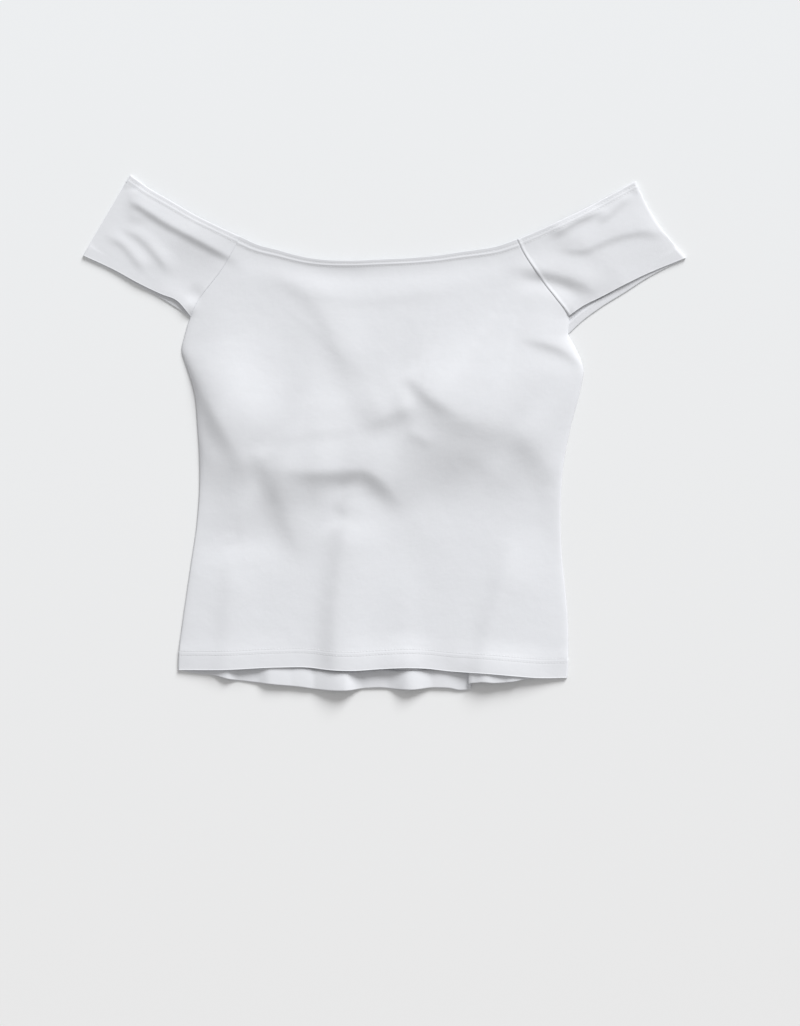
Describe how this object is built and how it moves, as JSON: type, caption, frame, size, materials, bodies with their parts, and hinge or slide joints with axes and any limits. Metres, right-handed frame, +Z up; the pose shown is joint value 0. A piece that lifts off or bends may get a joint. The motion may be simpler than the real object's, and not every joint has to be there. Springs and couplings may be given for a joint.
{
  "type": "off-shoulder top",
  "caption": "Fitted white jersey top with an off-shoulder neckline and short slanting sleeves, laid flat with its front up; lies on any level surface.",
  "frame": {"origin": "on the surface the top lies on, under the middle of its box", "axes": "+X to the right across the laid top seen from above, +Y from its bottom hem towards its neckline, +Z up from the surface"},
  "size_m": [0.603, 0.5147, 0.0185],
  "materials": {
    "jersey": "fine white cotton jersey with a little stretch, matt, softly creased"
  },
  "bodies": {
    "root": {"back_panel": "jersey", "front_panel": "jersey", "sleeve_left": "jersey", "sleeve_right": "jersey"}
  },
  "joints": []
}
